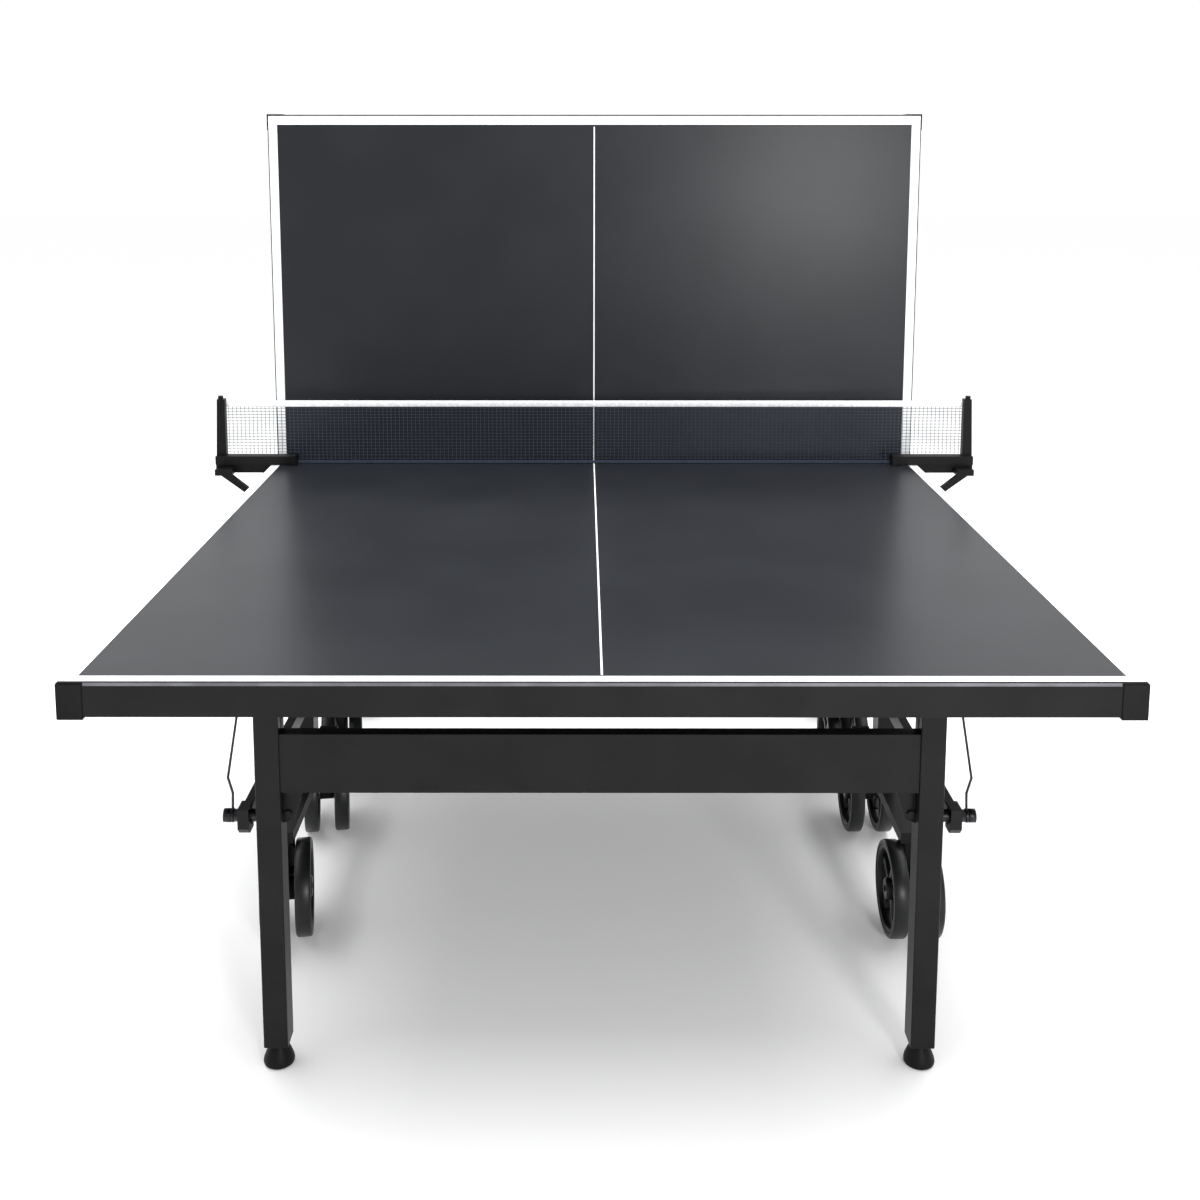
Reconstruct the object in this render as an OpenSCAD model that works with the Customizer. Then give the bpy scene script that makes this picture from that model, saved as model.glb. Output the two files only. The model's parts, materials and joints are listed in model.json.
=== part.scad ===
// Roll-away table tennis table in its playback position: the front half lies flat on its end legs,
// the rear half stands folded upright behind the net.
// X runs across the table, Y along it away from the player, Z up from the floor.
// Every half is drawn flat in its own frame, with y as the distance out from the net line.

/* [Playing surface] */
// Width of the playing surface
top_w = 1525; // [1500:5:1540]
// Length of one half, from the net line to the end line
half_len = 1370; // [1350:5:1380]
// Height of the playing surface above the floor
top_z = 760; // [755:1:765]
// Thickness of the board
board_t = 25; // [22:1:25]

/* [Apron] */
// Depth of the steel apron below the playing surface
apron_depth = 52; // [50:1:54]
// Width of an apron rail under the board
rail_w = 25; // [20:1:30]
// How far the apron lip stands outside the board
lip = 2.5; // [1:0.5:3]
// Side of a moulded corner cap
cap_side = 37; // [30:1:45]

/* [Fold] */
// Distance of the fold pivot from the net line
pivot_y = 475; // [470:1:480]
// Height of the fold pivot above the floor
pivot_z = 681; // [680:1:682]
// Gap between the net and the playing surface of the upright half
playback_gap = 62; // [62:1:75]

/* [End legs] */
// Width of a leg tube
leg_w = 40; // [36:1:44]
// Depth of a leg tube along the table
leg_d = 45; // [40:1:45]
// Distance from the centre line to a leg's outer face
leg_out = 550; // [545:1:552]
// Distance of the legs' centre line from the net line
leg_y = 1114; // [1105:1:1120]
// Height of the leg tube's lower end
leg_foot_z = 38; // [38:1:42]
// Lower edge of the beam between the legs
beam_z = 480; // [470:1:490]
// Height of the beam
beam_h = 98; // [90:1:105]

/* [Trolley] */
// Height of the pins that carry the connecting links
link_z = 433; // [425:1:440]
// Distance from the centre line to a trolley side's inner face
side_in = 582; // [580:1:584]
// Width of the trolley tubes
side_w = 40; // [36:1:40]
// Half of the distance between a trolley side's two castor stems
stem_half = 211; // [205:1:215]

/* [Castors] */
// Diameter of a castor wheel
wheel_d = 180; // [176:1:180]
// Width of one wheel
wheel_w = 30; // [26:1:31]
// Distance between the two wheels of a castor, centre to centre
wheel_track = 65; // [64:1:68]
// Distance that a castor trails behind its stem
trail = 40; // [36:1:42]
// How far the left castors of both halves are turned
left_turn = 9; // [0:1:9]

/* [Net] */
// Height of the net above the playing surface
net_h = 152; // [150:0.5:153]
// Distance from the centre line to a net post's inner face
post_in = 870; // [865:1:915]
// Width of a net post
post_w = 20; // [16:1:24]

/* [Hidden] */
$fn = 48;

// Thickness of a corner cap's wall, which stands outside the apron
cap_wall = 1.5;

// Heights of the top's parts
board_bottom = top_z - board_t;
apron_bottom = top_z - apron_depth;
rail_h = board_bottom - apron_bottom;
half_w = top_w / 2;

// The upright half's surface stands this far from the net line when its trolley hasn't rolled
upright_y = pivot_y - (top_z - pivot_z);
roll_in = upright_y - playback_gap;
fold_rise = leg_y - pivot_y;

// Where the net line lies, so that the whole object is centred on Y
turned_reach = (trail + wheel_d / 2) * cos(left_turn) + (wheel_track + wheel_w) / 2 * sin(left_turn);
y_min = -(half_len + lip + cap_wall);
y_max = pivot_y + stem_half - roll_in + turned_reach;
net_y = -(y_min + y_max) / 2;

// Thicknesses and radii
wall = 2;
fit = 0.06;
hinge_r = 6;
pin_r = 8;
link_pin_r = 10;
stem_r = 6;
axle_r = 5;
wire_r = 2;
side_mid = side_in + side_w / 2;
side_out = side_in + side_w;
rail_z0 = 181;
rail_z1 = 203;
upright_d = 50;
link_in = 561;
link_w = 16;
link_h = 30;
leg_mid = leg_out - leg_w / 2;
leg_in = leg_out - leg_w;
beam_t = 25;
beam_front = leg_y + leg_d / 2 - 4;
wire_high = leg_out + 15;
wire_low = leg_out + 42;
wire_points = [
  [wire_high, leg_y, pivot_z - 8], [leg_out + 31, leg_y, 597], [leg_out + 48, leg_y, 497],
  [leg_out + 41, leg_y, 471], [wire_low, leg_y, link_z + 9]
];
net_t = 1.2;
arm_in = 702;
arm_z0 = top_z + 2;
arm_z1 = top_z + 22;
jaw_x = half_w - 12;
jaw_y = 44;
jaw_z = apron_bottom - 18;
post_z1 = top_z + 156;
net_end_z = arm_z1 + 2.5;

// Places a flat half's parts in the whole object
module front_frame() translate([0, net_y, 0]) mirror([0, 1, 0]) children();
module rear_frame() translate([0, net_y - roll_in, 0]) children();
module folded(y, z) translate([0, y, z]) rotate([90, 0, 0]) translate([0, -y, -z]) children();
module rear_top_frame() rear_frame() folded(pivot_y, pivot_z) children();
module rear_leg_frame() rear_frame() translate([0, -fold_rise, fold_rise]) children();
module rear_link_frame() rear_frame() folded(pivot_y, link_z) children();
module right_side() children();
module left_side() mirror([1, 0, 0]) children();
module both_sides() {
  right_side() children();
  left_side() children();
}

// Basic shapes
module box_at(x0, x1, y0, y1, z0, z1) translate([x0, y0, z0]) cube([x1 - x0, y1 - y0, z1 - z0]);
module pin_x(x0, x1, y, z, r) translate([x0, y, z]) rotate([0, 90, 0]) cylinder(h = x1 - x0, r = r);
module tube_x(x0, x1, y0, y1, z0, z1) difference() {
  box_at(x0, x1, y0, y1, z0, z1);
  box_at(x0 - 1, x1 + 1, y0 + wall, y1 - wall, z0 + wall, z1 - wall);
}
module rod(a, b, r) {
  run = b - a;
  length = norm(run);
  translate(a) rotate([0, acos(run[2] / length), atan2(run[1], run[0])])
    cylinder(h = length, r = r, $fn = 24);
}

// Board of one half
module board() color("#2b2d30") box_at(-half_w, half_w, 0, half_len, board_bottom, top_z);

// Section of an apron rail: x is outward from the board's edge, y is height
module rail_section() difference() {
  polygon([[0, top_z], [lip - 0.5, top_z - 1], [lip, top_z - 5], [lip, apron_bottom], [-rail_w, apron_bottom],
    [-rail_w, board_bottom], [0, board_bottom]]);
  translate([-rail_w + wall, apron_bottom + wall]) square([rail_w + lip - 2 * wall, rail_h - 2 * wall]);
}
module apron_rails() color("#1d1e20") {
  translate([-half_w, half_len, 0]) rotate([90, 0, 90]) linear_extrude(top_w) rail_section();
  both_sides() translate([half_w, half_len - rail_w, 0]) rotate([90, 0, 0])
    linear_extrude(half_len - rail_w) rail_section();
}

// Cross rails under the board: at the net, over the pivots and over the legs
module cross_rails() color("#1d1e20") {
  inner = half_w - rail_w;
  tube_x(-inner, inner, 0, rail_w, apron_bottom, board_bottom);
  tube_x(-inner, inner, pivot_y - 20, pivot_y + 20, apron_bottom, board_bottom);
  tube_x(-inner, inner, leg_y - 20, leg_y + 20, apron_bottom, board_bottom);
}

// Moulded caps that close the apron's outer corners
module corner_caps() color("#151516") both_sides() difference() {
  outer = lip + cap_wall;
  box_at(half_w + outer - cap_side, half_w + outer, half_len + outer - cap_side, half_len + outer,
    apron_bottom - 4, top_z - 3);
  box_at(half_w - cap_side, half_w + lip, half_len - cap_side, half_len + lip, apron_bottom, top_z);
}

// Plates under the top: one at each fold pivot, two at each leg
module hinge_plate(x0, x1, y, r, bore) difference() {
  union() {
    pin_x(x0, x1, y, pivot_z, r);
    box_at(x0, x1, y - r, y + r, pivot_z, apron_bottom);
  }
  pin_x(x0 - 1, x1 + 1, y, pivot_z, bore);
}
module hinge_brackets() color("#2a2b2d") both_sides() {
  hinge_plate(side_out + 2, side_out + 10, pivot_y, 18, pin_r + fit);
  hinge_plate(leg_in - 8, leg_in - 2, leg_y, 16, hinge_r + fit);
  hinge_plate(leg_out + 2, leg_out + 8, leg_y, 16, hinge_r + fit);
}

// End leg: a rectangular tube with a round head, and a nut block at the foot
module leg() color("#1f2022") difference() {
  union() {
    box_at(leg_in, leg_out, leg_y - leg_d / 2, leg_y + leg_d / 2, leg_foot_z, pivot_z);
    pin_x(leg_in, leg_out, leg_y, pivot_z, leg_d / 2);
  }
  box_at(leg_in + wall, leg_out - wall, leg_y - leg_d / 2 + wall, leg_y + leg_d / 2 - wall,
    leg_foot_z + 14, link_z - 20);
  box_at(leg_in + wall, leg_out - wall, leg_y - leg_d / 2 + wall, leg_y + leg_d / 2 - wall,
    link_z + 20, pivot_z - 20);
  pin_x(leg_in - 1, leg_out + 1, leg_y, pivot_z, hinge_r);
  pin_x(leg_in - 1, leg_out + 1, leg_y, link_z, link_pin_r);
  translate([leg_mid, leg_y, leg_foot_z - 1]) cylinder(h = 41, r = axle_r + fit);
}

// Beam between the legs, with a gusset and bolt at each end
module leg_beam() color("#232426") {
  tube_x(-leg_in, leg_in, beam_front - beam_t, beam_front, beam_z, beam_z + beam_h);
  both_sides() translate([0, beam_front - beam_t + 4, 0]) rotate([90, 0, 0]) linear_extrude(4) difference() {
    polygon([[leg_in, beam_z], [leg_in - 34, beam_z], [leg_in - 16, link_z - 8], [leg_in, link_z - 14]]);
    translate([leg_in - 7, link_z + 2]) circle(r = 3);
  }
  both_sides() translate([leg_in - 7, beam_front - beam_t + 4, link_z + 2]) rotate([-90, 0, 0]) {
    cylinder(h = 5, r = 6);
    translate([0, 0, -5]) cylinder(h = 5, r = 3);
  }
}

// Pins fixed in the legs: the hinge pin and the link pin with its grooved outer end
module leg_pins() color("#3a3b3e") both_sides() {
  pin_x(leg_in - 14, leg_in - 10, leg_y, pivot_z, 10);
  pin_x(leg_in - 10, leg_out + 22, leg_y, pivot_z, hinge_r);
  pin_x(leg_in, leg_out + 39, leg_y, link_z, link_pin_r);
  pin_x(leg_out + 39, leg_out + 45, leg_y, link_z, 7);
  pin_x(leg_out + 45, leg_out + 56, leg_y, link_z, 11);
}

// Bent wire from the hinge pin down to the link pin's groove
module wire_eye(x, z, r) difference() {
  pin_x(x - wire_r, x + wire_r, leg_y, z, r + 4);
  pin_x(x - wire_r - 1, x + wire_r + 1, leg_y, z, r);
}
module stay_wires() color("#303134") both_sides() {
  for (i = [0 : len(wire_points) - 2]) rod(wire_points[i], wire_points[i + 1], wire_r);
  for (i = [1 : len(wire_points) - 2]) translate(wire_points[i]) sphere(r = wire_r + 0.2, $fn = 24);
  wire_eye(wire_high, pivot_z, hinge_r + 0.05);
  wire_eye(wire_low, link_z, 7.05);
}

// Levelling foot: a turned plastic pad on a threaded stem
module foot() color("#141415") translate([leg_mid, leg_y, 0]) {
  rotate_extrude($fn = 64) polygon([[0, 0], [21, 0], [24.5, 2], [25.5, 6], [24.5, 12], [19, 25], [14, 34],
    [13, 37], [0, 37]]);
  translate([0, 0, 37]) cylinder(h = 39, r = axle_r);
}

// Link that keeps the legs parallel to the trolley's upright
module link() color("#242527") difference() {
  union() {
    box_at(link_in, link_in + link_w, pivot_y, leg_y, link_z - link_h / 2, link_z + link_h / 2);
    pin_x(link_in, link_in + link_w, pivot_y, link_z, link_h / 2);
    translate([link_in + 2, 0, 0]) rotate([90, 0, 90]) linear_extrude(18)
      polygon([[leg_y - 16, link_z + 17], [leg_y + 18, link_z + 17], [leg_y + 18, link_z - 16],
        [leg_y + 8, link_z - 26], [leg_y - 16, link_z - 26]]);
  }
  box_at(link_in + wall, link_in + link_w - wall, pivot_y + 20, leg_y - 20,
    link_z - link_h / 2 + wall, link_z + link_h / 2 - wall);
  pin_x(link_in - 4, link_in + 25, leg_y, link_z, link_pin_r + fit);
  pin_x(link_in - 1, link_in + link_w + 1, pivot_y, link_z, pin_r + fit);
}

// Trolley side: a base rail on two castors, welded to an upright with a round head
module trolley_side() color("#1c1d1f") {
  y0 = pivot_y - stem_half;
  y1 = pivot_y + stem_half;
  difference() {
    union() {
      box_at(side_in, side_out, y0 - 38, y1 + 40, rail_z0, rail_z1);
      box_at(side_in, side_out, pivot_y - upright_d / 2, pivot_y + upright_d / 2, rail_z1, pivot_z);
      pin_x(side_in, side_out, pivot_y, pivot_z, upright_d / 2);
    }
    for (y = [y0, y1 - 200]) box_at(side_in + wall, side_out - wall, y + 25, y + 175, rail_z0 + wall,
      rail_z1 - wall);
    for (z = [rail_z1 + 4, link_z + 20]) box_at(side_in + wall, side_out - wall,
      pivot_y - upright_d / 2 + wall, pivot_y + upright_d / 2 - wall, z, z + 205);
    pin_x(side_in - 1, side_out + 1, pivot_y, pivot_z, pin_r);
    pin_x(side_in - 1, side_out - 5, pivot_y, link_z, pin_r);
    for (y = [y0, y1]) translate([side_mid, y, rail_z0 - 1]) cylinder(h = 19, r = stem_r + fit);
  }
}
module cross_tube() color("#1c1d1f")
  tube_x(-side_in, side_in, pivot_y - 18, pivot_y + 18, link_z - 96, link_z - 60);

// Pins fixed in the trolley: the fold pivots and the links' rear pins
module trolley_pins() color("#3a3b3e") both_sides() {
  pin_x(side_in, side_out + 11, pivot_y, pivot_z, pin_r);
  pin_x(side_out + 11, side_out + 17, pivot_y, pivot_z, 13);
  pin_x(link_in - 1, side_out - 5, pivot_y, link_z, pin_r);
  pin_x(link_in - 5, link_in - 1, pivot_y, link_z, 12);
}

// Castor: swivel body between two wheels, with the wheels' axle. Drawn about its stem, trailing along +y
module castor_body() color("#17181a") {
  translate([0, 0, rail_z0 - 0.5]) cylinder(h = 17, r = stem_r);
  translate([0, 0, 96]) cylinder(h = rail_z0 - 96.5, r = 15);
  box_at(-13, 13, 0, trail, 78, 118);
  pin_x(-15, 15, trail, wheel_d / 2, 22);
  pin_x(-wheel_track / 2 - wheel_w / 2 - 2, wheel_track / 2 + wheel_w / 2 + 2, trail, wheel_d / 2, axle_r);
}

// Wheel: rim, five spokes and a bored hub
module wheel(x) color("#101011") translate([x, trail, wheel_d / 2]) rotate([0, 90, 0]) difference() {
  union() {
    difference() {
      cylinder(h = wheel_w, r = wheel_d / 2, center = true, $fn = 96);
      cylinder(h = wheel_w + 1, r = wheel_d / 2 - 17, center = true, $fn = 96);
    }
    difference() {
      cylinder(h = wheel_w - 14, r = wheel_d / 2 - 12, center = true);
      for (i = [0 : 4]) rotate(i * 72 + 18) linear_extrude(wheel_w, center = true)
        polygon([[26, -9], [66, -26], [71, 0], [66, 26], [26, 9]]);
    }
    cylinder(h = wheel_w, r = 20, center = true);
  }
  cylinder(h = wheel_w + 1, r = axle_r + fit, center = true);
}
module wheel_pair() {
  wheel(-wheel_track / 2);
  wheel(wheel_track / 2);
}
module at_castor(side, end, turn) translate([side * side_mid, pivot_y + end * stem_half, 0]) rotate(turn)
  children();

// Net with its top tape, one post, one clamp and one clamp screw, drawn in the front half's frame
module net_sheet() color("#1c2430") {
  rotate([90, 0, 0]) linear_extrude(net_t, center = true) polygon([
    [-post_in + 2, net_end_z], [-arm_in + 2, net_end_z], [-arm_in + 2, arm_z0], [arm_in - 2, arm_z0],
    [arm_in - 2, net_end_z], [post_in - 2, net_end_z], [post_in - 2, top_z + net_h - 15],
    [-post_in + 2, top_z + net_h - 15]]);
}
module net_tape() color("#e8e8ea")
  box_at(-post_in + 2, post_in - 2, -2, 2, top_z + net_h - 15, top_z + net_h);
module net() {
  net_sheet();
  net_tape();
}
module net_post() color("#161617") {
  translate([0, 9, 0]) rotate([90, 0, 0]) linear_extrude(18)
    polygon([[post_in, arm_z1], [post_in, post_z1], [post_in + post_w - 2, post_z1],
      [post_in + post_w + 3, arm_z1]]);
  translate([post_in + 11, 0, post_z1]) cylinder(h = 7, r = 6);
}
module net_clamp() color("#131314") difference() {
  post_out = post_in + post_w + 3;
  union() {
    box_at(arm_in, post_out, -8, 22, arm_z0, arm_z1);
    box_at(arm_in, arm_in + 12, -8, 26, top_z, arm_z1 + 2);
    box_at(half_w + lip + 0.5, post_out, -8, 18, top_z - 18, arm_z0);
    box_at(post_out - 45, post_out - 5, 18, jaw_y + 7, top_z - 18, top_z - 4);
    translate([0, jaw_y + 7, 0]) rotate([90, 0, 0]) linear_extrude(14) polygon([[post_out - 20, top_z - 18],
      [post_out - 45, top_z - 18], [half_w + 20, jaw_z], [jaw_x - 14, jaw_z], [jaw_x - 14, jaw_z - 12],
      [half_w + 24, jaw_z - 12]]);
    translate([jaw_x, jaw_y, jaw_z - 14]) cylinder(h = 15, r = 12);
  }
  translate([jaw_x, jaw_y, jaw_z - 15]) cylinder(h = 17, r = axle_r + fit);
}
module clamp_screw() color("#202022") translate([jaw_x, jaw_y, 0]) {
  translate([0, 0, apron_bottom - 50]) cylinder(h = 46, r = axle_r);
  translate([0, 0, apron_bottom - 4.5]) cylinder(h = 4.2, r = 11);
  translate([0, 0, apron_bottom - 62]) cylinder(h = 13, r = 14);
}

front_frame() board();  // front_board
front_frame() apron_rails();  // front_apron_rails
front_frame() cross_rails();  // front_cross_rails
front_frame() corner_caps();  // front_corner_caps
front_frame() hinge_brackets();  // front_hinge_brackets
front_frame() left_side() leg();  // front_leg_left
front_frame() right_side() leg();  // front_leg_right
front_frame() leg_beam();  // front_leg_beam
front_frame() leg_pins();  // front_leg_pins
front_frame() stay_wires();  // front_stay_wires
front_frame() left_side() foot();  // front_foot_left
front_frame() right_side() foot();  // front_foot_right
front_frame() left_side() link();  // front_link_left
front_frame() right_side() link();  // front_link_right
front_frame() left_side() trolley_side();  // front_trolley_left
front_frame() right_side() trolley_side();  // front_trolley_right
front_frame() cross_tube();  // front_cross_tube
front_frame() trolley_pins();  // front_trolley_pins
front_frame() at_castor(-1, 1, -left_turn) castor_body();  // front_castor_end_left
front_frame() at_castor(1, 1, 0) castor_body();  // front_castor_end_right
front_frame() at_castor(-1, -1, -left_turn) castor_body();  // front_castor_net_left
front_frame() at_castor(1, -1, 0) castor_body();  // front_castor_net_right
front_frame() at_castor(-1, 1, -left_turn) wheel_pair();  // front_wheels_end_left
front_frame() at_castor(1, 1, 0) wheel_pair();  // front_wheels_end_right
front_frame() at_castor(-1, -1, -left_turn) wheel_pair();  // front_wheels_net_left
front_frame() at_castor(1, -1, 0) wheel_pair();  // front_wheels_net_right

rear_top_frame() board();  // rear_board
rear_top_frame() apron_rails();  // rear_apron_rails
rear_top_frame() cross_rails();  // rear_cross_rails
rear_top_frame() corner_caps();  // rear_corner_caps
rear_top_frame() hinge_brackets();  // rear_hinge_brackets
rear_leg_frame() left_side() leg();  // rear_leg_left
rear_leg_frame() right_side() leg();  // rear_leg_right
rear_leg_frame() leg_beam();  // rear_leg_beam
rear_leg_frame() leg_pins();  // rear_leg_pins
rear_leg_frame() stay_wires();  // rear_stay_wires
rear_leg_frame() left_side() foot();  // rear_foot_left
rear_leg_frame() right_side() foot();  // rear_foot_right
rear_link_frame() left_side() link();  // rear_link_left
rear_link_frame() right_side() link();  // rear_link_right
rear_frame() left_side() trolley_side();  // rear_trolley_left
rear_frame() right_side() trolley_side();  // rear_trolley_right
rear_frame() cross_tube();  // rear_cross_tube
rear_frame() trolley_pins();  // rear_trolley_pins
rear_frame() at_castor(-1, 1, left_turn) castor_body();  // rear_castor_end_left
rear_frame() at_castor(1, 1, 0) castor_body();  // rear_castor_end_right
rear_frame() at_castor(-1, -1, left_turn) castor_body();  // rear_castor_net_left
rear_frame() at_castor(1, -1, 0) castor_body();  // rear_castor_net_right
rear_frame() at_castor(-1, 1, left_turn) wheel_pair();  // rear_wheels_end_left
rear_frame() at_castor(1, 1, 0) wheel_pair();  // rear_wheels_end_right
rear_frame() at_castor(-1, -1, left_turn) wheel_pair();  // rear_wheels_net_left
rear_frame() at_castor(1, -1, 0) wheel_pair();  // rear_wheels_net_right

front_frame() net();
front_frame() left_side() net_post();  // net_post_left
front_frame() right_side() net_post();  // net_post_right
front_frame() left_side() net_clamp();  // net_clamp_left
front_frame() right_side() net_clamp();  // net_clamp_right
front_frame() left_side() clamp_screw();  // clamp_screw_left
front_frame() right_side() clamp_screw();  // clamp_screw_right
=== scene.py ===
import bpy
import bmesh
import json
import math
import random
from mathutils import Matrix, Vector


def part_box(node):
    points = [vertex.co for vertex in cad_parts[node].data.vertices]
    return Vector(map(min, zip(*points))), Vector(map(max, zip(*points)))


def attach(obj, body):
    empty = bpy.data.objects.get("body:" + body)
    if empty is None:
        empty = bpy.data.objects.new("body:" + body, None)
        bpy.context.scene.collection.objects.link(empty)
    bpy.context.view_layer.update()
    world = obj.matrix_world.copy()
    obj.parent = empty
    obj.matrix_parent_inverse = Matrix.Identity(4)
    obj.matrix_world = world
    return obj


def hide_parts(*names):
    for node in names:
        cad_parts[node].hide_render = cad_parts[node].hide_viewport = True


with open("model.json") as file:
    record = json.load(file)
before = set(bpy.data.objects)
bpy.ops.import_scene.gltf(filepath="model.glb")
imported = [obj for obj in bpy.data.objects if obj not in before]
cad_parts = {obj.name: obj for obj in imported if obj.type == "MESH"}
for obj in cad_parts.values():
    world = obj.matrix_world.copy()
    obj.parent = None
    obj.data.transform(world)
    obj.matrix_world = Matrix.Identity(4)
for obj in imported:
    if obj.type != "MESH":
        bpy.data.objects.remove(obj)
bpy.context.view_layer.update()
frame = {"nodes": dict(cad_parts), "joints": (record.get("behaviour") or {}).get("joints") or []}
nodes = frame["nodes"]
joints = {joint["name"]: joint for joint in frame["joints"]}
halves = ("front", "rear")
sides = ("left", "right")
mm = 0.001
random.seed(7)
print("frame loaded")


def toLinear(hexColour):
    # sRGB hex to the linear colour that the shader works in
    values = [int(hexColour[i:i + 2], 16) / 255 for i in (1, 3, 5)]
    return [v / 12.92 if v <= 0.04045 else ((v + 0.055) / 1.055) ** 2.4 for v in values] + [1]


def addNode(tree, kind, links=None, **settings):
    # one shader node: links maps its inputs to other nodes' outputs, settings are its fields and inputs
    node = tree.nodes.new(kind)
    for name, value in settings.items():
        plain = name.replace("_", " ")
        socket = next((s for s in node.inputs if s.name.lower() == plain.lower()), None)
        if hasattr(node, name):
            setattr(node, name, value)
        elif socket is not None:
            socket.default_value = value
    for name, source in (links or {}).items():
        tree.links.new(source, node.inputs[name])
    return node


def colourRamp(tree, factor, stops):
    ramp = addNode(tree, "ShaderNodeValToRGB", {"Fac": factor})
    for element, (place, colour) in zip(ramp.color_ramp.elements, stops):
        element.position = place
        element.color = toLinear(colour)
    return ramp.outputs["Color"]


def surface(name, spec):
    # two tones mixed by a soft noise, a fine grain for the bump, and roughness that varies with both
    material = bpy.data.materials.new(name)
    material.use_nodes = True
    tree = material.node_tree
    shader = tree.nodes["Principled BSDF"]
    place = addNode(tree, "ShaderNodeTexCoord").outputs["Object"]
    patches = addNode(tree, "ShaderNodeTexNoise", {"Vector": place},
                      Scale=1 / (spec["patchMm"] * mm), Detail=3.0)
    grain = addNode(tree, "ShaderNodeTexNoise", {"Vector": place},
                    Scale=1 / (spec["grainMm"] * mm), Detail=2.0)
    tone = colourRamp(tree, patches.outputs["Fac"], [(0.35, spec["dark"]), (0.65, spec["light"])])
    tree.links.new(tone, shader.inputs["Base Color"])
    low, high = spec["roughness"]
    rough = addNode(tree, "ShaderNodeMapRange", {"Value": grain.outputs["Fac"]}, To_Min=low, To_Max=high)
    tree.links.new(rough.outputs["Result"], shader.inputs["Roughness"])
    bump = addNode(tree, "ShaderNodeBump", {"Height": grain.outputs["Fac"]},
                   Strength=spec["bump"], Distance=spec["bumpMm"] * mm)
    tree.links.new(bump.outputs["Normal"], shader.inputs["Normal"])
    shader.inputs["Metallic"].default_value = spec.get("metallic", 0.0)
    shader.inputs["IOR"].default_value = spec.get("ior", 1.5)
    shader.inputs["Specular IOR Level"].default_value = spec.get("specular", 0.5)
    shader.inputs["Sheen Weight"].default_value = spec.get("sheen", 0.0)
    return material


finishes = {
    # matt charcoal lacquer rolled on board: an even dark grey with a broad, blurred highlight
    "charcoalLacquer": dict(dark="#1f2125", light="#232529", patchMm=180, grainMm=1.6,
                            roughness=(0.28, 0.34), bump=0.08, bumpMm=0.08, specular=0.2),
    # white screen-printed line paint: chalky and slightly uneven
    "linePaint": dict(dark="#eceef0", light="#fafbfb", patchMm=60, grainMm=1.2,
                      roughness=(0.42, 0.52), bump=0.1, bumpMm=0.1),
    # polyester powder coat on steel: satin black with the faint orange peel of a baked coat
    "powderCoat": dict(dark="#101011", light="#161617", patchMm=90, grainMm=2.2,
                       roughness=(0.32, 0.42), bump=0.22, bumpMm=0.12, specular=0.14),
    # black oxide on turned steel: dark, with a metal's tinted highlight
    "blackOxideSteel": dict(dark="#232325", light="#343437", patchMm=8, grainMm=0.8,
                            roughness=(0.28, 0.4), bump=0.15, bumpMm=0.05, metallic=0.85),
    # injection-moulded ABS with a spark-eroded grain: dull black that lightens on its edges
    "mouldedPlastic": dict(dark="#0c0c0d", light="#121213", patchMm=40, grainMm=0.9,
                           roughness=(0.42, 0.54), bump=0.3, bumpMm=0.08, specular=0.13),
    # moulded nylon wheel centre: slightly glossier than the ABS
    "wheelNylon": dict(dark="#0e0f10", light="#151617", patchMm=30, grainMm=0.8,
                       roughness=(0.3, 0.42), bump=0.18, bumpMm=0.06, ior=1.53, specular=0.3),
    # moulded rubber tread: dull and faintly grey with dust
    "treadRubber": dict(dark="#0f0f10", light="#18181a", patchMm=24, grainMm=1.1,
                        roughness=(0.62, 0.78), bump=0.35, bumpMm=0.12, specular=0.25),
    # the board's end edge strip: mid grey as painted highlight, for the light this bevelled edge catches from
    # above; smooth
    "paintedEdgeHighlight": dict(dark="#55555b", light="#67676d", patchMm=50, grainMm=0.7,
                     roughness=(0.32, 0.4), bump=0.08, bumpMm=0.04),
    # twisted polyester net cord: navy black with a soft bloom from its fibres
    "netCord": dict(dark="#142033", light="#1e2d45", patchMm=9, grainMm=0.6,
                    roughness=(0.72, 0.85), bump=0.4, bumpMm=0.15, sheen=0.25),
    # woven cotton tape: bright, with the threads of the weave just showing
    "cottonTape": dict(dark="#e2e4e8", light="#f8f8fa", patchMm=6, grainMm=0.7,
                       roughness=(0.78, 0.9), bump=0.45, bumpMm=0.15, sheen=0.2),
}
materials = {name: surface(name, spec) for name, spec in finishes.items()}


def setMaterial(obj, *names):
    obj.data.materials.clear()
    for name in names:
        obj.data.materials.append(materials[name])


nodeFinish = {
    "board": "charcoalLacquer", "apron_rails": "powderCoat", "cross_rails": "powderCoat",
    "corner_caps": "mouldedPlastic", "hinge_brackets": "powderCoat", "leg_left": "powderCoat",
    "leg_right": "powderCoat", "leg_beam": "powderCoat", "leg_pins": "blackOxideSteel",
    "stay_wires": "blackOxideSteel", "link_left": "powderCoat", "link_right": "powderCoat",
    "trolley_left": "powderCoat", "trolley_right": "powderCoat", "cross_tube": "powderCoat",
    "trolley_pins": "blackOxideSteel", "castor": "mouldedPlastic", "foot": "mouldedPlastic",
    "wheels": "wheelNylon", "net_post": "mouldedPlastic", "net_clamp": "mouldedPlastic",
    "clamp_screw": "blackOxideSteel", "net": "netCord",
}
# how far each piece's edges are rounded, in mm
edges = {"default": 0.8, "leg_left": 2.0, "leg_right": 2.0, "leg_beam": 1.5, "corner_caps": 1.2,
         "net_post": 1.5, "net_clamp": 1.2, "trolley_left": 1.6, "trolley_right": 1.6, "castor": 1.5}


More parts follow.
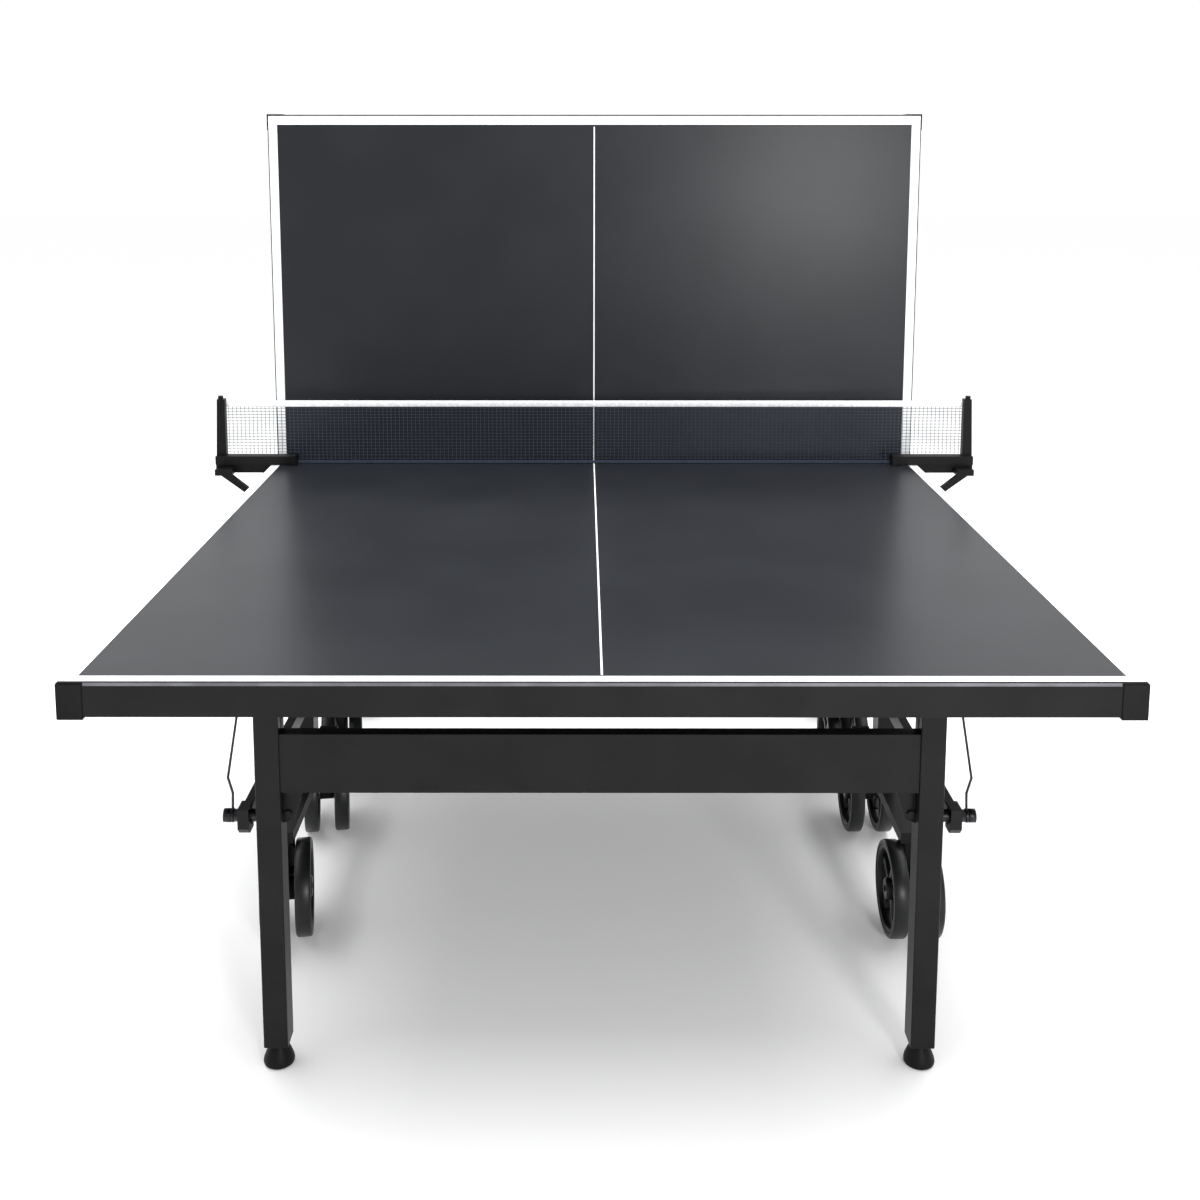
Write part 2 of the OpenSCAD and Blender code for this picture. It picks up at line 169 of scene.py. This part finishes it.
def finishNode(name, obj):
    plain = name.split("_", 1)[1] if name.split("_")[0] in halves else name
    exact = [k for k in nodeFinish if plain == k]
    key = (exact or [k for k in nodeFinish if plain.startswith(k)])[0]
    setMaterial(obj, nodeFinish[key])
    weld = obj.modifiers.new("joinEdges", "WELD")
    weld.merge_threshold = 0.01 * mm
    bevel = obj.modifiers.new("softEdges", "BEVEL")
    bevel.width = edges.get(key, edges["default"]) * mm
    bevel.segments = 2
    bevel.limit_method = "ANGLE"
    bevel.angle_limit = math.radians(50)
    bevel.use_clamp_overlap = True
    bevel.harden_normals = True


for nodeName, nodeObject in nodes.items():
    finishNode(nodeName, nodeObject)
print("finishes on the CAD pieces")


def newPiece(name, bm, body, slotName, *finish):
    bmesh.ops.recalc_face_normals(bm, faces=bm.faces)
    mesh = bpy.data.meshes.new(name)
    bm.to_mesh(mesh)
    bm.free()
    obj = bpy.data.objects.new(name, mesh)
    bpy.context.scene.collection.objects.link(obj)
    setMaterial(obj, *finish)
    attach(obj, body)
    return obj


def addSlab(bm, corners):
    # a closed slab from eight corners, the first four below the last four
    verts = [bm.verts.new(c) for c in corners]
    for ring in ((0, 1, 2, 3), (4, 5, 6, 7), (0, 1, 5, 4), (1, 2, 6, 5), (2, 3, 7, 6), (3, 0, 4, 7)):
        bm.faces.new([verts[i] for i in ring])


def addTube(bm, start, end, radius, count):
    # a straight closed tube between two points
    start, end = Vector(start), Vector(end)
    turn = (end - start).to_track_quat("Z", "Y")
    rings = []
    for centre in (start, end):
        spots = [turn @ Vector((radius * math.cos(a), radius * math.sin(a), 0))
                 for a in [2 * math.pi * i / count for i in range(count)]]
        rings.append([bm.verts.new(centre + spot) for spot in spots])
    for i in range(count):
        j = (i + 1) % count
        bm.faces.new((rings[0][i], rings[0][j], rings[1][j], rings[1][i]))
    bm.faces.new(rings[0])
    bm.faces.new(rings[1])


def addLathe(bm, profile, count, place, material=0, closed=True):
    # turns (along, radius) points about the local X axis; place puts them in the row frame
    rings = []
    for along, radius in profile:
        spots = [Vector((along, radius * math.cos(a), radius * math.sin(a)))
                 for a in [2 * math.pi * i / count for i in range(count)]]
        rings.append([bm.verts.new(place @ s) for s in spots])
    pairs = list(zip(rings, rings[1:]))
    if closed:
        pairs.append((rings[-1], rings[0]))
    for one, two in pairs:
        for i in range(count):
            j = (i + 1) % count
            face = bm.faces.new((one[i], one[j], two[j], two[i]))
            face.material_index = material
            face.smooth = True
    if not closed:
        for ring in (rings[0], rings[-1]):
            bm.faces.new(ring).material_index = material


# painted lines and a mid-grey end edge strip whose grey is painted highlight, placed from each board's box
lineSpec = {"border": 20, "centre": 3, "centreStop": 5, "film": 0.1, "sunk": 0.05, "inset": 0.4}
bandSpec = {"below": 1.3, "height": 4.6, "back": 1.0, "proud": 2.9, "chamfer": 0.6, "capLength": 35}


def halfPoint(half, across, out, height):
    # across the table, out from the net edge, and above the playing surface
    low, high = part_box(half + "_board")
    if half == "front":
        return Vector((across, high.y - out, high.z + height))
    return Vector((across, low.y - height, low.z + out))


for half in halves:
    low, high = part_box(half + "_board")
    halfWidth = high.x
    length = high.y - low.y if half == "front" else high.z - low.z
    border, film = lineSpec["border"] * mm, lineSpec["film"] * mm
    bm = bmesh.new()
    edge = halfWidth - lineSpec["inset"] * mm
    end = length - lineSpec["inset"] * mm
    stop = length - border - lineSpec["centreStop"] * mm
    thin = lineSpec["centre"] * mm / 2
    shapes = [[(-edge, 0), (-edge + border, 0), (-edge + border, end - border), (-edge, end)],
              [(edge - border, 0), (edge, 0), (edge, end), (edge - border, end - border)],
              [(-edge + border, end - border), (edge - border, end - border), (edge, end), (-edge, end)],
              [(-thin, 0), (thin, 0), (thin, stop), (-thin, stop)]]
    for shape in shapes:
        base = [halfPoint(half, x, y, -lineSpec["sunk"] * mm) for x, y in shape]
        top = [halfPoint(half, x, y, film) for x, y in shape]
        addSlab(bm, base + top)
    newPiece(half + "_lines", bm, half + "_top", "playing_board", "linePaint")

    # a strip over the end rail's top bevel, coloured mid grey as painted highlight for the light that edge
    # catches
    band = bmesh.new()
    reach = halfWidth - bandSpec["capLength"] * mm
    bandTop = -bandSpec["below"] * mm
    bandLow = bandTop - bandSpec["height"] * mm
    inner, outer = length + bandSpec["back"] * mm, length + bandSpec["proud"] * mm
    lip = outer - bandSpec["chamfer"] * mm
    steps = [(-reach, inner, bandLow), (reach, inner, bandLow), (reach, outer, bandLow),
             (-reach, outer, bandLow), (-reach, inner, bandTop), (reach, inner, bandTop),
             (reach, lip, bandTop), (-reach, lip, bandTop)]
    addSlab(band, [halfPoint(half, *step) for step in steps])
    newPiece(half + "_painted_edge_highlight", band, half + "_top", "black_plastic", "paintedEdgeHighlight")
print("lines and edge bands")

# the net: knotted cords with real gaps, a white top tape and a dark foot band
netSpec = {"pitchAcross": 9.6, "pitchUp": 7.4, "cord": 1.1, "knot": 1.25, "armInner": 702, "armGap": 2.5}
tapeSpec = {"height": 15, "thick": 3.4, "stations": 240, "ripple": 0.1}
footBandSpec = {"height": 6, "halfThick": 0.9, "halfThickTop": 0.6}
netLow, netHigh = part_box("net")
netY = (netLow.y + netHigh.y) / 2
tapeLow = netHigh.z - tapeSpec["height"] * mm
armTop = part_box("net_post_left")[0].z + netSpec["armGap"] * mm
netReach = netHigh.x
cordRadius = netSpec["cord"] * mm / 2
net = bmesh.new()
acrossCount = round(2 * netReach / (netSpec["pitchAcross"] * mm))
upCount = round((tapeLow - netLow.z) / (netSpec["pitchUp"] * mm))
acrossAt = [-netReach + 2 * netReach * (i + 0.5) / acrossCount for i in range(acrossCount)]
upAt = [netLow.z + (tapeLow - netLow.z) * (i + 0.5) / upCount for i in range(upCount)]
armReach = netSpec["armInner"] * mm
for x in acrossAt:
    bottom = netLow.z if abs(x) < armReach - 2 * mm else armTop
    addTube(net, (x, netY, bottom), (x, netY, tapeLow + 1 * mm), cordRadius, 6)
for z in upAt:
    reach = netReach if z > armTop else armReach - 2 * mm
    addTube(net, (-reach, netY, z), (reach, netY, z), cordRadius, 6)
    for x in acrossAt:
        if abs(x) < reach:
            size = netSpec["knot"] * mm * random.uniform(0.85, 1.1)
            spots = [Vector(d) * size for d in
                     ((1, 0, 0), (0, 0, 1), (-1, 0, 0), (0, 0, -1), (0, 1, 0), (0, -1, 0))]
            knot = [net.verts.new(Vector((x, netY, z)) + s) for s in spots]
            for i in range(4):
                net.faces.new((knot[i], knot[(i + 1) % 4], knot[4]))
                net.faces.new((knot[(i + 1) % 4], knot[i], knot[5]))
netPiece = newPiece("net_mesh", net, "front_top", "net_fabric", "netCord")
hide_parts("net")

# the tape is a folded band: a rounded section swept along the net, rippled a little by its stitching
tape = bmesh.new()
half = tapeSpec["thick"] * mm / 2
section = [(-half * 0.55, tapeLow), (-half, tapeLow + 2 * mm), (-half, netHigh.z - 3 * mm),
           (-half * 0.6, netHigh.z - 0.6 * mm), (0, netHigh.z), (half * 0.6, netHigh.z - 0.6 * mm),
           (half, netHigh.z - 3 * mm), (half, tapeLow + 2 * mm), (half * 0.55, tapeLow)]
stations = tapeSpec["stations"]
rings = []
for i in range(stations + 1):
    x = -netReach + 2 * netReach * i / stations
    puff = 1 - tapeSpec["ripple"] * (math.cos(math.pi * i) + 1) / 2
    rings.append([tape.verts.new((x, netY + y * puff, z)) for y, z in section])
for one, two in zip(rings, rings[1:]):
    for i in range(len(section)):
        j = (i + 1) % len(section)
        face = tape.faces.new((one[i], one[j], two[j], two[i]))
        face.smooth = True
tape.faces.new(rings[0])
tape.faces.new(rings[-1])
tapePiece = newPiece("net_tape", tape, "front_top", "net_fabric", "cottonTape")

foot = bmesh.new()
bandHigh = netLow.z + footBandSpec["height"] * mm
lowThick, topThick = footBandSpec["halfThick"] * mm, footBandSpec["halfThickTop"] * mm
addSlab(foot, [(-armReach, netY - lowThick, netLow.z), (armReach, netY - lowThick, netLow.z),
               (armReach, netY + lowThick, netLow.z), (-armReach, netY + lowThick, netLow.z),
               (-armReach, netY - topThick, bandHigh), (armReach, netY - topThick, bandHigh),
               (armReach, netY + topThick, bandHigh), (-armReach, netY + topThick, bandHigh)])
footPiece = newPiece("net_foot_band", foot, "front_top", "net_fabric", "netCord")

# castor wheels: a rubber tread on a five-spoke nylon centre, with a hub
wheelSpec = {"radius": 90, "width": 30, "tread": 9, "rim": 17, "hub": 20, "spokes": 5, "spokeThick": 12,
             "spokeSwing": 0.22, "spokeBroad": 9.5, "spokeWaist": 4.5, "spokeFlare": 2.5, "spokeSteps": 8,
             "startAngle": 0.3, "track": 65, "bore": 5.4}
# one spoke's section, as shares of its breadth and thickness
spokeSection = [(-1, -0.8), (-0.7, -1), (0.7, -1), (1, -0.8), (1, 0.8), (0.7, 1), (-0.7, 1), (-1, 0.8)]


def treadProfile():
    r, w, t = wheelSpec["radius"] * mm, wheelSpec["width"] * mm / 2, wheelSpec["tread"] * mm
    return [(-w, r - t), (-w, r - 4 * mm), (-w + 1.2 * mm, r - 1.4 * mm), (-w + 4 * mm, r), (w - 4 * mm, r),
            (w - 1.2 * mm, r - 1.4 * mm), (w, r - 4 * mm), (w, r - t)]


def rimProfile():
    r, w = wheelSpec["radius"] * mm, wheelSpec["width"] * mm / 2
    outer, inner = r - wheelSpec["tread"] * mm, r - wheelSpec["rim"] * mm
    return [(-w + 1 * mm, outer), (-w + 1 * mm, inner + 1.5 * mm), (-w + 2.5 * mm, inner),
            (w - 2.5 * mm, inner), (w - 1 * mm, inner + 1.5 * mm), (w - 1 * mm, outer)]


def hubProfile():
    w, hub, bore = wheelSpec["width"] * mm / 2, wheelSpec["hub"] * mm, wheelSpec["bore"] * mm
    return [(-w, bore), (-w, hub - 3 * mm), (-w + 1.5 * mm, hub - 1 * mm), (-w + 4 * mm, hub),
            (w - 4 * mm, hub), (w - 1.5 * mm, hub - 1 * mm), (w, hub - 3 * mm), (w, bore)]


def addSpoke(bm, place, angle):
    # a curved rib that starts wide at the hub, narrows, and flares into the rim
    first, last = (wheelSpec["hub"] - 1) * mm, (wheelSpec["radius"] - wheelSpec["rim"] + 1) * mm
    thick = wheelSpec["spokeThick"] * mm / 2
    steps, previous = wheelSpec["spokeSteps"], None
    for i in range(steps + 1):
        share = i / steps
        radius = first + (last - first) * share
        swing = angle + wheelSpec["spokeSwing"] * math.sin(math.pi * share)
        broad = (wheelSpec["spokeBroad"] - wheelSpec["spokeWaist"] * math.sin(math.pi * share)
                 + wheelSpec["spokeFlare"] * share) * mm
        centre = Vector((0, radius * math.cos(swing), radius * math.sin(swing)))
        side = Vector((0, -math.sin(swing), math.cos(swing)))
        outward = Vector((1, 0, 0))
        ring = [bm.verts.new(place @ (centre + side * broad * a + outward * thick * b))
                for a, b in spokeSection]
        if previous:
            for k in range(len(ring)):
                after = (k + 1) % len(ring)
                face = bm.faces.new((previous[k], previous[after], ring[after], ring[k]))
                face.smooth = True
        else:
            bm.faces.new(ring)
        previous = ring
    bm.faces.new(previous)


def makeWheels(half, end, side):
    joint = joints["wheel_%s_%s_%s" % (half, end, side)]
    axis = Vector(joint["axis"]).normalized()
    turn = Matrix.Rotation(math.atan2(axis.y, axis.x), 4, "Z")
    bm = bmesh.new()
    for offset in (-1, 1):
        shift = Matrix.Translation((offset * wheelSpec["track"] * mm / 2, 0, 0))
        place = Matrix.Translation(Vector(joint["pos_m"])) @ turn @ shift
        addLathe(bm, treadProfile(), 72, place, material=1)
        addLathe(bm, rimProfile(), 72, place)
        addLathe(bm, hubProfile(), 32, place)
        for i in range(wheelSpec["spokes"]):
            addSpoke(bm, place, 2 * math.pi * i / wheelSpec["spokes"] + wheelSpec["startAngle"])
    body = "%s_wheels_%s_%s" % (half, end, side)
    piece = newPiece(body + "_turned", bm, body, "wheel", "wheelNylon", "treadRubber")
    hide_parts(body)


for half in halves:
    for endName in ("end", "net"):
        for side in sides:
            makeWheels(half, endName, side)
print("wheels")

# levelling feet: a moulded bell on a threaded stem
footSpec = {"profile": [(0.2, 20.2), (0, 21), (0.8, 23), (2, 24.6), (4, 25.3), (6, 25.5), (9, 25.1), (12, 24.4),
                        (17, 22.4), (22, 20.4), (27, 18), (31, 15.9), (34, 14.3), (36, 13.3), (37, 13)],
            "stem": 5, "threadDepth": 0.7, "pitch": 1.5, "top": 76}


def makeFoot(half, side):
    name = "%s_foot_%s" % (half, side)
    low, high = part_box(name)
    place = Matrix.Translation(((low.x + high.x) / 2, (low.y + high.y) / 2, low.z)) @ Matrix.Rotation(
        -math.pi / 2, 4, "Y")
    bm = bmesh.new()
    addLathe(bm, [(z * mm, r * mm) for z, r in footSpec["profile"]], 48, place, closed=False)
    thread = []
    z = footSpec["profile"][-1][0] - 1
    while z < footSpec["top"] - footSpec["pitch"]:
        thread += [(z * mm, (footSpec["stem"] - footSpec["threadDepth"]) * mm),
                   ((z + footSpec["pitch"] / 2) * mm, footSpec["stem"] * mm)]
        z += footSpec["pitch"]
    addLathe(bm, thread, 24, place, material=1, closed=False)
    piece = newPiece(name + "_bell", bm, name, "black_plastic", "mouldedPlastic", "blackOxideSteel")
    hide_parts(name)


for half in halves:
    for side in sides:
        makeFoot(half, side)
print("feet")

# floor, light and camera
stageSpec = {"floor": "#fbfbfb", "roughness": 0.9, "glow": 0.12, "size": 60, "below": 0.5}
bm = bmesh.new()
bmesh.ops.create_grid(bm, x_segments=4, y_segments=4, size=stageSpec["size"] / 2)
floorMesh = bpy.data.meshes.new("floor")
bm.to_mesh(floorMesh)
bm.free()
floor = bpy.data.objects.new("floor", floorMesh)
floor.location.z = -stageSpec["below"] * mm
bpy.context.scene.collection.objects.link(floor)
floorPaint = bpy.data.materials.new("paintedFloor")
floorPaint.use_nodes = True
floorShader = floorPaint.node_tree.nodes["Principled BSDF"]
floorShader.inputs["Base Color"].default_value = toLinear(stageSpec["floor"])
floorShader.inputs["Roughness"].default_value = stageSpec["roughness"]
floorShader.inputs["Specular IOR Level"].default_value = 0.0
floorShader.inputs["Emission Color"].default_value = (1, 1, 1, 1)
floorShader.inputs["Emission Strength"].default_value = stageSpec["glow"]
floor.data.materials.append(floorPaint)

roomSpec = {"nearAt": -0.8, "farAt": 0.1, "near": 0.62, "far": 1.02}
world = bpy.data.worlds.new("paleRoom")
bpy.context.scene.world = world
world.use_nodes = True
# the room is brighter on the far side, so that surfaces facing the player read darker
sky = world.node_tree
skyCoords = addNode(sky, "ShaderNodeTexCoord")
direction = addNode(sky, "ShaderNodeSeparateXYZ", {"Vector": skyCoords.outputs["Generated"]})
light = addNode(sky, "ShaderNodeMapRange", {"Value": direction.outputs["Y"]},
                From_Min=roomSpec["nearAt"], From_Max=roomSpec["farAt"],
                To_Min=roomSpec["near"], To_Max=roomSpec["far"])
sky.links.new(light.outputs["Result"], sky.nodes["Background"].inputs["Strength"])
sky.nodes["Background"].inputs["Color"].default_value = (1, 1, 1, 1)

lamps = {
    "overheadSoftbox": dict(place=(0, 0.1, 3.6), aim=(0, 0, 0), size=(5.5, 5.0), power=245),
    "panelGlow": dict(place=(1.35, -4.3, 1.35), aim=(0.5, 0.5, 1.4), size=(0.6, 0.6), power=65),
}
for name, lamp in lamps.items():
    data = bpy.data.lights.new(name, "AREA")
    data.shape = "RECTANGLE"
    data.size, data.size_y = lamp["size"]
    data.energy = lamp["power"]
    lampObject = bpy.data.objects.new(name, data)
    lampObject.location = lamp["place"]
    aim = Vector(lamp["aim"]) - Vector(lamp["place"])
    lampObject.rotation_euler = aim.to_track_quat("-Z", "Y").to_euler()
    bpy.context.scene.collection.objects.link(lampObject)

cameraSpec = {"place": (-0.0278, -2.7930, 1.4965), "pitch": 0.1410, "yaw": -0.0013, "lens": 41.80,
              "sensor": 36, "shiftX": 0.0162, "shiftY": -0.21}
camera = bpy.data.objects.new("camera", bpy.data.cameras.new("camera"))
camera.location = cameraSpec["place"]
camera.rotation_euler = (math.pi / 2 - cameraSpec["pitch"], 0, -cameraSpec["yaw"])
camera.data.lens = cameraSpec["lens"]
camera.data.sensor_width = cameraSpec["sensor"]
camera.data.shift_x = cameraSpec["shiftX"]
camera.data.shift_y = cameraSpec["shiftY"]
bpy.context.scene.collection.objects.link(camera)
bpy.context.scene.camera = camera
bpy.context.scene.view_settings.view_transform = "Standard"
print("floor, light and camera")
